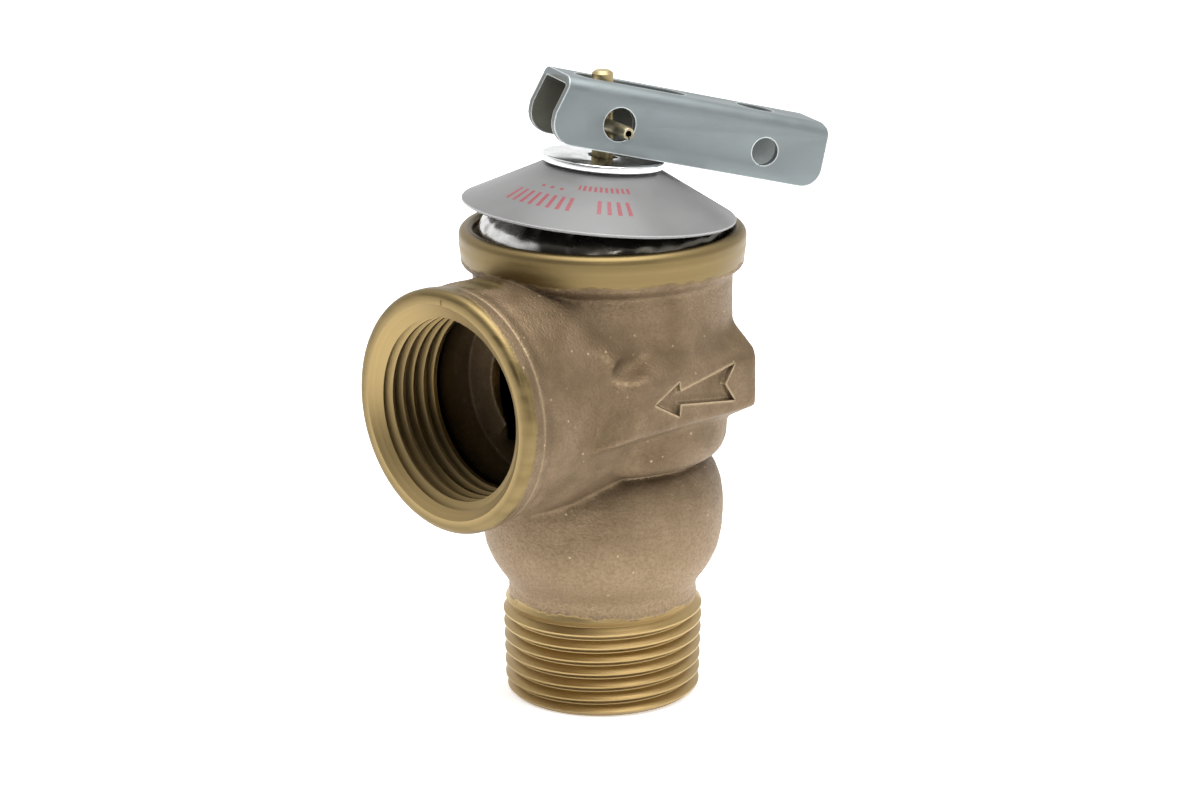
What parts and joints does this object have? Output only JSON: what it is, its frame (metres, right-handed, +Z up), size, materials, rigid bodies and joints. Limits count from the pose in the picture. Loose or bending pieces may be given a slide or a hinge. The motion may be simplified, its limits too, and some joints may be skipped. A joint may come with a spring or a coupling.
{
  "type": "pressure relief valve",
  "caption": "Angle-pattern hot-water pressure relief valve with a male threaded inlet, a female threaded side outlet, a spring-loaded disc and a manual lift lever.",
  "frame": {"origin": "centre of the inlet's end face, on the valve's axis", "axes": "+Z up along the valve's axis, -Y out of the side outlet, +X towards one wrench flat"},
  "size_m": [0.0382, 0.0581, 0.0846],
  "materials": {
    "cast_bronze": "sand-cast and tumbled, machined bright at the rim, outlet and threads",
    "brass": "turned",
    "plated_steel": "bright nickel plate",
    "zinc_plated_steel": "satin blue zinc plate",
    "spring_steel": "plain, slightly oiled",
    "grey_nameplate": null,
    "rubber": "matt black"
  },
  "bodies": {
    "housing": {"valve_body": "cast_bronze", "spring_bonnet": "plated_steel", "clamp_ring": "plated_steel", "diaphragm": "rubber", "main_spring": "spring_steel", "upper_spring_seat": "plated_steel"},
    "disc_carrier": {"disc_holder": "brass", "seat_disc": "rubber", "disc_washer": "brass", "disc_screw": "brass", "diaphragm_washer": "brass", "spring_plate": "plated_steel", "plate_nut": "brass"},
    "bush": {"stem_bush": "brass", "bush_clip": "spring_steel"},
    "stem": {"stem": "brass", "stem_clip": "spring_steel", "lever_pin": "spring_steel"},
    "lever": {"lever": "zinc_plated_steel"},
    "cap": {"nameplate": "grey_nameplate", "lever_washer": "plated_steel"}
  },
  "joints": [
    {"name": "lever_swivel", "type": "hinge", "parent": "housing", "child": "bush", "pos_m": [0, 0, 0.0701], "axis": [0, 0, 1], "continuous": true},
    {"name": "stem_lift", "type": "slide", "parent": "bush", "child": "stem", "axis": [0, 0, 1], "range_m": [0, 0.004]},
    {"name": "lever_lift", "type": "hinge", "parent": "stem", "child": "lever", "pos_m": [0.00021, 0.00046, 0.078], "axis": [0.9114, -0.4115, 0], "range_deg": [0, 75]},
    {"name": "cap_rock", "type": "hinge", "parent": "bush", "child": "cap", "pos_m": [0, 0, 0.0716], "axis": [0.9114, -0.4115, 0], "range_deg": [0, 5.25]},
    {"name": "disc_lift", "type": "slide", "parent": "housing", "child": "disc_carrier", "axis": [0, 0, 1], "range_m": [0, 0.004], "deforming": ["main_spring", "diaphragm"]}
  ],
  "couplings": [
    {"joint": "stem_lift", "follows": "lever_lift", "m_per_rad": 0.003},
    {"joint": "disc_lift", "follows": "lever_lift", "m_per_rad": 0.003},
    {"joint": "cap_rock", "follows": "lever_lift", "ratio": 0.069333}
  ]
}
